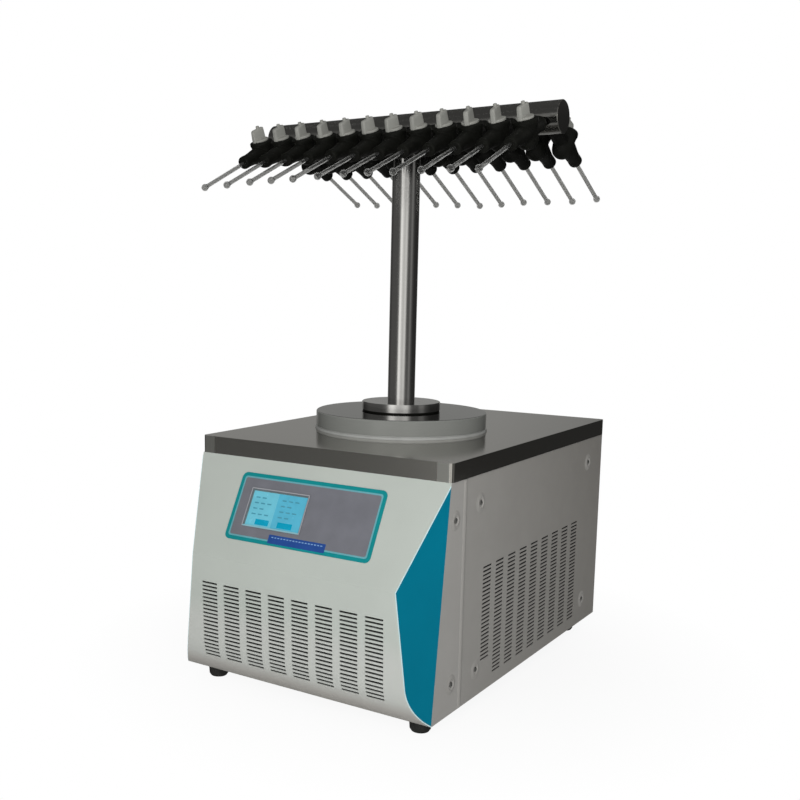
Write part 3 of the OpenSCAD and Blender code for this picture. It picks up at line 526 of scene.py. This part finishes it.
def display():
    """Trim and a lit rim on the bezel and, on the lit glass, a lighter left field, a painted shadow of the
    bezel along its top and left edges, marks and two keys.
    """
    x, down, w, h, out = slope_span("screen_bezel")
    edge_thick = 0.06 * MM
    edge_outer = rounded_outline(w - 0.6 * MM, h - 0.6 * MM, 0.8 * MM)
    edge_inner = rounded_outline(w - 3.2 * MM, h - 3.2 * MM, 0.5 * MM)
    flat_frame("bezel_edge", "edge", edge_outer, edge_inner, on_slope(x, down, out), edge_thick)
    rim = rounded_outline(w - 4 * MM, 2.3 * MM, 0.3 * MM)
    rim_place = on_slope(x, down + h / 2 - 1.4 * MM, out + edge_thick)
    plates("bezel_lit_rim", "rim_lit", [(rim, rim_place, 0.04 * MM)])

    bezel_wall = 2.7 * MM
    glass_w, glass_h = w - 2 * bezel_wall, h - 2 * bezel_wall
    glass_out = slope_span("touch_screen")[4]

    def tile(left, top, right, bottom, lift=0.0):
        """A plate on the glass, its sides as shares of the glass from the top left corner."""
        tile_x = x + ((left + right) / 2 - 0.5) * glass_w
        tile_down = down + ((top + bottom) / 2 - 0.5) * glass_h
        outline = rounded_outline((right - left) * glass_w, (bottom - top) * glass_h, 0.3 * MM)
        return outline, on_slope(tile_x, tile_down, glass_out + lift), 0.05 * MM

    # Painted shadow of the bezel: a dark strip along the glass's top and left edges.
    shadow_x, shadow_y, half = 0.027, 0.036, 0.49
    plates("display_bezel_shadow", "lcd_bezel_shadow", [tile(0, 0, 1, shadow_y), tile(0, shadow_y, shadow_x, 1)])
    plates("display_lcd_light", "lcd_light", [tile(shadow_x, shadow_y, half, 1)])
    mark_w, mark_h, mark_pitch, row_pitch = 0.075, 0.035, 0.115, 0.155
    marks = []
    for row in range(4):
        y = 0.19 + row_pitch * row
        for column, start in enumerate((0.09, 0.57)):
            for k in range(2 + (row + column) % 2):
                left = start + mark_pitch * k
                marks.append(tile(left, y, left + mark_w, y + mark_h, 0.08 * MM))
    plates("display_lcd_mark", "lcd_mark", marks)
    keys = [tile(left, 0.803, right, 0.961, 0.06 * MM) for left, right in ((0.195, 0.44), (0.597, 0.86))]
    plates("display_lcd_key", "lcd_key", keys)


# ---------------------------------------------------------------- cabinet details
def screw_places():
    """The middles of the screw heads on the two sides, from the CAD solids."""
    head_size = 12 * MM
    heads = []
    for v in NODES["panel_screws"].data.vertices:
        if abs(v.co.x) > TOP_HIGH.x:
            near = [points for points in heads if (points[0] - v.co).length < head_size]
            if near:
                near[0].append(v.co)
            else:
                heads.append([v.co.copy()])
    return [sum(points, Vector()) / len(points) for points in heads]


def screw_cups():
    """A pressed cup round each side screw."""
    cup = [(15, -0.3), (15, 0), (12.5, 0.35), (10, 0.9), (8.6, 1.25), (8.1, 1.3), (7.6, 1.1), (6.9, 0.5),
           (6.3, 0.15), (4.2, 0.02), (4.2, -0.3)]
    bm = bmesh.new()
    for place in screw_places():
        side = math.copysign(1, place.x)
        seat = Matrix.Translation((side * PANEL_X, place.y, place.z))
        revolve(bm, mm(cup), seat @ Matrix.Rotation(math.radians(90) * side, 4, "Y"), 40, closed=True)
    face_outward(bm)
    new_piece("screw_cups", bm, "casing", 60)


def seam_beads():
    """The rolled rear edge of the front frame, where the side panels start."""
    wide, tall, fullness, sunk = 12 * MM, 1.3 * MM, 0.8, 0.3 * MM
    foot, head = CASE_BASE + 2 * MM, TOP_LOW.z - 1 * MM
    steps = 12
    section = [(PANEL_X + tall * math.sin(math.pi * k / steps) ** fullness, SEAM_Y - wide * (1 - k / steps))
               for k in range(steps + 1)]
    section += [(PANEL_X - sunk, SEAM_Y), (PANEL_X - sunk, SEAM_Y - wide)]
    bm = bmesh.new()
    for side in (-1, 1):
        loft(bm, [[(side * x, y, z) for x, y in section] for z in (foot, head)])
    face_outward(bm)
    new_piece("seam_beads", bm, "casing", 60)


def face_loop(node, toward):
    """The outline of a node's flat face that points toward a direction, as a closed ring of points."""
    bm = bmesh.new()
    bm.from_mesh(NODES[node].data)
    inside = [f for f in bm.faces if f.normal.dot(toward) > 0.99]
    edges = [e for f in inside for e in f.edges if sum(g in inside for g in e.link_faces) == 1]
    links = {}
    for e in edges:
        for v in e.verts:
            links.setdefault(v, []).append(e)
    edge = edges[0]
    start = v = edge.verts[0]
    ring = []
    while True:
        ring.append(v.co.copy())
        v = edge.other_vert(v)
        if v == start or len(ring) > len(edges):
            break
        edge = [e for e in links[v] if e != edge][0]
    bm.free()
    return ring


def run_off_side(ring):
    """The stretch of a cheek's outline that borders the moulding, without its rear edge along the side."""
    widest = max(abs(p.x) for p in ring)
    on_side = [abs(p.x) > widest - 1 * MM for p in ring]
    count = len(ring)
    first = next(k for k in range(count) if on_side[k] and not on_side[(k + 1) % count])
    run = [ring[first]]
    for k in range(first + 1, first + count):
        run.append(ring[k % count])
        if on_side[k % count]:
            break
    return run


def cheek_beads():
    """A fine light bead on the edge where each coloured cheek meets the moulding: a real edge, with its light
    colour partly a painted highlight.
    """
    radius, sunk, sides = 0.85 * MM, 0.3 * MM, 6
    turns = [math.radians(360 * j / sides) for j in range(sides)]
    for side, node in ((1, "right_cheek"), (-1, "left_cheek")):
        largest_first = sorted(NODES[node].data.polygons, key=lambda f: -f.area)
        toward = next(f.normal.copy() for f in largest_first if f.normal.x * side > 0.5)
        ring = face_loop(node, toward)
        middle = sum(ring, Vector()) / len(ring)
        run = run_off_side(ring)
        rings = []
        for k, here in enumerate(run):
            ahead = (run[min(k + 1, len(run) - 1)] - run[max(k - 1, 0)]).normalized()
            across = ahead.cross(toward).normalized()
            inward = across if across.dot(middle - here) > 0 else -across
            seat = here - inward * sunk
            rings.append([seat + radius * (math.cos(a) * inward + math.sin(a) * toward) for a in turns])
        bm = bmesh.new()
        loft(bm, rings)
        face_outward(bm)
        new_piece(node + "_bead", bm, "bead", 60)


def flange_shadow_ring():
    """A thin black ring round the foot of the column's flange: painted shadow in the gap between the flange
    and the lid.
    """
    low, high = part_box("manifold_column")
    outer = (high.x - low.x) / 2 - 1.2 * MM
    inner = outer - 1.2 * MM
    foot, head = 0.1 * MM, 2.3 * MM
    bm = bmesh.new()
    revolve(bm, [(inner, foot), (outer, foot), (outer, head), (inner, head)],
            Matrix.Translation((AXIS.x, AXIS.y, LID_HIGH.z)), 96, closed=True)
    new_piece("flange_shadow_ring", bm, "rubber", 30)


def slot_shade_mats():
    """A thin black mat of lumpy foam behind the slots of each side panel: a dark sheet that paints the shade
    inside the casing.
    """
    low = Vector((PANEL_X - 3.6 * MM, SEAM_Y + 59 * MM, CASE_BASE + 18 * MM))
    high = Vector((PANEL_X - 1.9 * MM, SEAM_Y + 454 * MM, CASE_BASE + 200 * MM))
    cells, lump = 24, 0.25 * MM
    for side, name in ((-1, "slot_shade_mat_left"), (1, "slot_shade_mat_right")):
        rings = []
        for j in range(cells + 1):
            y = low.y + (high.y - low.y) * j / cells
            sheets = [[(side * (x + lump * math.sin(7 * j + 5 * k)), y, low.z + (high.z - low.z) * k / cells)
                       for k in range(cells + 1)] for x in (low.x, high.x)]
            rings.append(sheets[0] + sheets[1][::-1])
        bm = bmesh.new()
        loft(bm, rings)
        face_outward(bm)
        new_piece(name, bm, "slot_shade", 60)


def seal_ring():
    """The pale seal under the lid, its skirt flared onto the worktop."""
    r = (LID_HIGH.x - LID_LOW.x) / 2
    bore, skirt = 104 * MM, r - 30 * MM
    foot, under, head = 0.1 * MM, 1.6 * MM, 5.9 * MM
    profile = [(bore, under), (skirt, under), (skirt, foot), (r + 1.5 * MM, foot), (r + 1.4 * MM, 2.4 * MM),
               (r + 0.9 * MM, 3.8 * MM), (r - 1.5 * MM, 4.4 * MM), (r - 1.5 * MM, head), (bore, head)]
    bm = bmesh.new()
    revolve(bm, profile, Matrix.Translation((AXIS.x, AXIS.y, TOP_HIGH.z)), 128, closed=True)
    face_outward(bm)
    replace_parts(new_piece("seal_ring", bm, "seal", 40), "trap_seal")


def worktop_sheet():
    """The worktop with softly bent edges, instead of the sharp ones of its CAD mesh."""
    bevel = {"width": 2.2 * MM, "segments": 4, "limit_method": "ANGLE", "angle_limit": math.radians(50),
             "use_clamp_overlap": True}
    bm = bmesh.new()
    bm.from_mesh(modified(NODES["worktop"].data.copy(), ("BEVEL", bevel)))
    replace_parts(new_piece("worktop_rounded", bm, "worktop", 40), "worktop")


# ---------------------------------------------------------------- manifold
# How far the ports of each row are turned about Z, in degrees. A port by itself points to the rear
ROW_TURN = {"front": 180, "rear": 0}


def port_frame(i, row):
    """The frame of port i: Y out along the port, Z up along the plug."""
    x = AXIS.x + (i - (PORTS + 1) / 2) * PORT_PITCH
    turn = Matrix.Rotation(math.radians(ROW_TURN[row]), 4, "Z")
    return Matrix.Translation((x, AXIS.y, AXIS.z)) @ turn @ Matrix.Rotation(-PORT_DROP, 4, "X")


def valve_mesh():
    """One rubber valve: a domed barrel with a lip, a sleeve and a nozzle, melted together and smoothed."""
    barrel = [(0, -25)] + arc(0, -8.6, 16.4, -80, 0, 8) + [(16.5, -3), (16.7, 2), (17.1, 6), (17.7, 10)]
    barrel += arc(17.8, 15.6, 1.7, -50, 0, 3) + arc(17.7, 19.2, 1.8, 0, 90, 4) + [(0, 21)]
    sleeve = [(0, 30.5), (11.4, 30.5), (12.6, 31.7), (12.6, 35), (11.9, 38), (11.9, 52), (12.4, 66), (0, 72)]
    nozzle = [(0, 76), (15.0, 80), (14.4, 91), (12.9, 104), (11.3, 116), (10.5, 127), (10.8, 133)]
    nozzle += arc(8.0, 138.2, 2.8, 0, 90, 5) + [(0, 141)]
    along = Matrix.Rotation(math.radians(-90), 4, "X")
    bm = bmesh.new()
    revolve(bm, mm(barrel), Matrix.Translation((0, VALVE_REACH, 0)), 48)
    revolve(bm, mm(sleeve), along, 32)
    revolve(bm, mm(nozzle), Matrix.Translation((0, 0, NOZZLE_UP)) @ along, 32)
    return modified(to_mesh("valve", bm), ("REMESH", {"mode": "VOXEL", "voxel_size": 0.8 * MM}),
                    ("SMOOTH", {"factor": 0.5, "iterations": 4}), ("DECIMATE", {"ratio": 0.12}))


def valves():
    """The rubber valves, one piece for each row."""
    valve = valve_mesh()
    for row in ROW_TURN:
        bm = bmesh.new()
        for i in range(1, PORTS + 1):
            one = valve.copy()
            one.transform(port_frame(i, row))
            bm.from_mesh(one)
            bpy.data.meshes.remove(one)
        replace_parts(new_piece("rubber_valves_" + row, bm, "rubber", 180), "valve_bodies")


def knob_turn(i, row):
    """How far the CAD knob stands turned, by the same rule as its solid."""
    return math.radians(80 + 13 * math.sin(math.radians(55 * i + 66 + ROW_TURN[row])))


def knob_mesh(place):
    """A moulded knob: a dished disc on its plug, a tapering grip along X and a domed pip on top."""
    disc_low, plug_low, plug_r = 21.3, -15, 8
    disc = [(0, plug_low), (plug_r, plug_low), (plug_r, disc_low)] + arc(12.6, disc_low + 0.9, 0.9, -90, 0, 3)
    disc += arc(12.4, disc_low + 2.7, 1.1, 0, 70, 3) + [(9, disc_low + 4.0), (0, disc_low + 4.1)]
    pip = [(0, 20), (3.1, 20), (3.0, 23.6)] + arc(1.8, 24.5, 1.2, 0, 90, 4) + [(0, 25.7)]
    # The grip in mm: the height above the disc's foot, the back and the front end, and the thickness
    levels = [(0.3, -9.6, 15.2, 9.0), (6, -9.5, 15.0, 8.7), (12, -9.4, 14.6, 8.4), (18, -9.2, 14.0, 8.0),
              (20.6, -9.0, 13.4, 7.6), (21.7, -8.5, 12.4, 6.6), (22.2, -7.5, 10.8, 5.0)]
    # The grip's top slopes down to the front: how steeply, at what height, from how far behind its middle
    fall, fall_height, fall_back = 0.09, 22, 9 * MM
    rings = []
    for z, back, front, thick in levels:
        middle = (front + back) / 2 * MM
        outline = rounded_outline((front - back) * MM, thick * MM, thick * 0.3 * MM, 4)
        slope = fall * z / fall_height
        rings.append([place @ Vector((x + middle, y, (z + disc_low) * MM - slope * (x + fall_back)))
                      for x, y in outline])
    bm = bmesh.new()
    revolve(bm, mm(disc), place, 40)
    loft(bm, rings)
    revolve(bm, mm(pip), place @ Matrix.Translation((0.5 * MM, 0, disc_low * MM)), 16)
    return bm


def knobs():
    """Each knob turns with its own plug."""
    for row in ROW_TURN:
        for i in range(1, PORTS + 1):
            node = f"valve_knob_{row}_{i}"
            place = port_frame(i, row) @ Matrix.Translation((0, VALVE_REACH, 0))
            place = place @ Matrix.Rotation(knob_turn(i, row), 4, "Z")
            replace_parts(new_piece(f"knob_{row}_{i}", knob_mesh(place), "knob", 35, node), node)


def ampoule_place(i, row):
    """The frame of an ampoule, its Z along the glass, by the same rules as its solid."""
    turn = ROW_TURN[row]
    lean = 2 * math.sin(math.radians(19 * i + 117 + turn)) - (0.6 if row == "front" else 1.9)
    shift = (-5 if row == "front" else 5) + 3 * math.sin(math.radians(90 * i + 172 + turn))
    return (port_frame(i, row) @ Matrix.Translation((0, NOZZLE_SEAT, NOZZLE_UP))
            @ Matrix.Rotation(math.radians(lean - 90), 4, "X") @ Matrix.Translation((0, 0, shift * MM)))


def ampoules():
    """Drawn glass: a thin-walled tube that swells into a closed ball, with a melted tip."""
    r, wall, ball, ball_z = 3.3, 0.8, 5.7, 136.0

    def on_ball(radius, *degrees):
        """Points of a profile round the ball, their angles in degrees from its neck."""
        angles = (math.radians(a) for a in degrees)
        return [(radius * math.sin(a), ball_z - radius * math.cos(a)) for a in angles]

    outside = [(r, 0), (r, ball_z - 8), (r + 0.4, ball_z - 6.3)]
    outside += on_ball(ball, 45, 65, 85, 105, 125, 145, 165)
    outside += [(0.9, ball_z + ball), (0, ball_z + ball + 0.3)]
    inside = on_ball(ball - wall, 180, 155, 130, 105, 80, 55, 38) + [(r - wall, ball_z - 7.5), (r - wall, 0)]
    for row in ROW_TURN:
        bm = bmesh.new()
        for i in range(1, PORTS + 1):
            revolve(bm, mm(outside + inside), ampoule_place(i, row), 24, closed=True)
        face_outward(bm)
        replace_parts(new_piece("glass_ampoules_" + row, bm, "glass", 60), "ampoules")


control_panel()
display()
worktop_sheet()
screw_cups()
seam_beads()
cheek_beads()
slot_shade_mats()
seal_ring()
flange_shadow_ring()
valves()
knobs()
ampoules()
for name in ("trap_lid", "manifold_column", "manifold_tube", "trap_seal", "cold_trap_pot", "feet"):
    smooth(NODES[name].data, 30)


# ---------------------------------------------------------------- studio
def hide_from(thing, *rays):
    """Keeps an object of the studio out of what some kinds of ray see."""
    for ray in rays:
        setattr(thing, "visible_" + ray, False)


def background_rays(tree):
    """1 for the rays that show the background: the camera's, and those in metal and glass."""
    paths = tree.nodes.new("ShaderNodeLightPath")
    seen = paths.outputs["Is Camera Ray"]
    for other in ("Is Glossy Ray", "Is Transmission Ray"):
        join = tree.nodes.new("ShaderNodeMath")
        join.operation = "MAXIMUM"
        tree.links.new(seen, join.inputs[0])
        tree.links.new(paths.outputs[other], join.inputs[1])
        seen = join.outputs[0]
    return seen


def mix_shaders(tree, fac, first, second, output):
    """From one shader to another as fac goes from 0 to 1, into the surface of an output node."""
    mixed = tree.nodes.new("ShaderNodeMixShader")
    for socket, source in zip(mixed.inputs, (fac, first.outputs[0], second.outputs[0])):
        tree.links.new(source, socket)
    tree.links.new(mixed.outputs[0], tree.nodes[output].inputs["Surface"])


def floor():
    """A plain pale floor. It fades to the white background, and keeps the object's soft shadow."""
    # The share of plain white at two distances from the middle of the floor
    near, white_near, far, white_far = 0.25, 0.9, 0.6, 1.0
    bm = bmesh.new()
    bmesh.ops.create_grid(bm, x_segments=1, y_segments=1, size=40)
    ground = add_object("floor", to_mesh("floor", bm))
    ground.location.z = -0.5 * MM
    s = Shader("floor_white", (0.93, 0.93, 0.93), 0.8, Specular_IOR_Level=0.1)
    s.vary(s.noise(2, 2), 0.01)
    white = s.ramp(s.length(s.coord), white_near, white_far, near, far)
    seen_white = s.compute("MULTIPLY", background_rays(s.tree), white)
    mix_shaders(s.tree, seen_white, s.bsdf, s.node("ShaderNodeEmission"), "Material Output")
    ground.data.materials.append(s.material)


def studio_world():
    """Plain light from all round. The camera, metal and glass see a white background instead."""
    world = bpy.data.worlds.new("studio")
    bpy.context.scene.world = world
    world.use_nodes = True
    tree = world.node_tree
    plain, white = tree.nodes["Background"], tree.nodes.new("ShaderNodeBackground")
    plain_level, white_level = 0.27, 1.0
    for light, level in ((plain, plain_level), (white, white_level)):
        light.inputs["Color"].default_value = (1, 1, 1, 1)
        light.inputs["Strength"].default_value = level
    mix_shaders(tree, background_rays(tree), plain, white, "World Output")


# A round wall in three bands, with levels of light for what metal reflects. Each level goes with a
# compass angle in degrees: 0 is the right, 90 the rear and -90 the front
WALL_R = 1.7
# The lowest band has a bright front between darker sides
LOW_LEVELS = (
    (-180, 0.06), (-165, 0.09), (-115, 0.09), (-102, 0.16), (-97, 0.6), (-92, 1.15), (-82, 1.15),
    (-75, 0.75), (-62, 0.62), (-50, 0.82), (-43, 0.76), (-38, 0.32), (-31, 0.1), (-12, 0.1), (-6, 0.2),
    (4, 0.2), (12, 0.08), (30, 0.03), (88, 0.026), (100, 0.23), (110, 0.275), (150, 0.275), (158, 0.03),
    (180, 0.06),
)
# The middle band has the same left and rear, and an even level from the front to the right
LEFT_LEVELS = [(angle, level) for angle, level in LOW_LEVELS if not -97 < angle < 100]
MID_LEVELS = sorted(LEFT_LEVELS + [(-90, 0.3), (30, 0.3), (45, 0.05), (88, 0.05)])
# The highest band is dark at the left and the rear, and as even from the front to the right
HIGH_LEVELS = ((-180, 0.055), (-100, 0.055), (-85, 0.3), (30, 0.3), (50, 0.12), (85, 0.12), (98, 0.055),
               (180, 0.055))


def gloss_only(name, bm, shader, strength):
    """Walls and cards shape what steel reflects. The camera and the plain light don't see them."""
    glow = shader.node("ShaderNodeEmission")
    glow.inputs["Color"].default_value = (1, 1, 0.97, 1)
    shader.link(strength, glow.inputs["Strength"])
    shader.link(glow.outputs[0], shader.tree.nodes["Material Output"].inputs["Surface"])
    held = add_object(name, to_mesh(name, bm))
    held.data.materials.append(shader.material)
    hide_from(held, "camera", "diffuse", "transmission", "shadow")


def studio_wall(name, low, high, levels):
    """One band of the wall, from one height to another."""
    steps = 96
    turns = [2 * math.pi * k / steps for k in range(steps)]
    bm = bmesh.new()
    bridge(bm, [[bm.verts.new((WALL_R * math.cos(a), WALL_R * math.sin(a), z)) for a in turns]
                for z in (low, high)])
    s = Shader(name + "_levels", (0, 0, 0), 1.0)
    turn = s.compute("ARCTAN2", s.axis("Y"), s.axis("X"))
    band = s.node("ShaderNodeValToRGB")
    stops = band.color_ramp.elements
    while len(stops) < len(levels):
        stops.new(1.0)
    top = max(level for _, level in levels)
    for stop, (angle, level) in zip(stops, levels):
        stop.position = (angle + 180) / 360
        stop.color = (level / top, level / top, level / top, 1)
    s.link(s.ramp(turn, 0, 1, -math.pi, math.pi), band.inputs["Fac"])
    gloss_only(name, bm, s, s.ramp(band.outputs["Color"], 0, top, 0, 1))


def level_card(name, height, middle, rim, aside=0.0):
    """A round card, its level from a middle that may lie aside, to the right, out to the rim."""
    fade_start, fade_end = 0.7, 0.82
    bm = bmesh.new()
    bmesh.ops.create_circle(bm, cap_ends=True, segments=32, radius=WALL_R,
                            matrix=Matrix.Translation((0, 0, height)))
    s = Shader(name + "_grey", (0, 0, 0), 1.0)
    flat = s.node("ShaderNodeVectorMath", operation="MULTIPLY_ADD")
    flat.inputs[1].default_value = (1, 1, 0)
    flat.inputs[2].default_value = (-aside, 0, 0)
    s.link(s.coord, flat.inputs[0])
    gloss_only(name, bm, s, s.ramp(s.length(flat.outputs["Vector"]), middle, rim, fade_start, fade_end))


def softbox(name, place, aim, size, watts):
    """A square lamp that lights the object and shows in nothing."""
    lamp = bpy.data.lights.new(name, "AREA")
    lamp.size = size
    lamp.energy = watts
    holder = add_object(name, lamp)
    holder.location = place
    holder.rotation_euler = (Vector(aim) - Vector(place)).to_track_quat("-Z", "Y").to_euler()
    hide_from(holder, "camera", "glossy", "transmission")


def camera():
    """Stands and looks as the camera of the photograph did, with the same turn, roll and shift."""
    yaw, pitch, roll = (math.radians(a) for a in (-34.7596, 8.6754, 0.5244))
    forward = Vector((math.sin(yaw) * math.cos(pitch), math.cos(yaw) * math.cos(pitch), -math.sin(pitch)))
    level = Vector((math.cos(yaw), -math.sin(yaw), 0))
    upright = level.cross(forward)
    right = math.cos(roll) * level + math.sin(roll) * upright
    up = math.cos(roll) * upright - math.sin(roll) * level
    place = Matrix((right, up, -forward)).transposed().to_4x4()
    place.translation = Vector((0.87185, -1.60709, 0.61587 + CASE_BASE))
    data = bpy.data.cameras.new("camera")
    data.sensor_width = 36
    data.lens = 47.497
    data.shift_x, data.shift_y = 0.1229, 0.0542
    holder = add_object("camera", data)
    holder.matrix_world = place
    bpy.context.scene.camera = holder


floor()
studio_world()
studio_wall("wall_low", 0, 1.15, LOW_LEVELS)
studio_wall("wall_mid", 1.15, 1.5, MID_LEVELS)
studio_wall("wall_high", 1.5, 3, HIGH_LEVELS)
level_card("card_ceiling", 3, 0.35, 0.055, 0.35)
level_card("card_floor", 0.5 * MM, 0.16, 0.16)
softbox("key_box", (1.2, -2.3, 1.22), (0, -0.2, 0.3), 1.5, 49)
softbox("rear_fill", (-1.4, 2.2, 1.3), (0, 0.1, 0.3), 1.6, 14)
camera()
bpy.context.scene.view_settings.view_transform = "Standard"
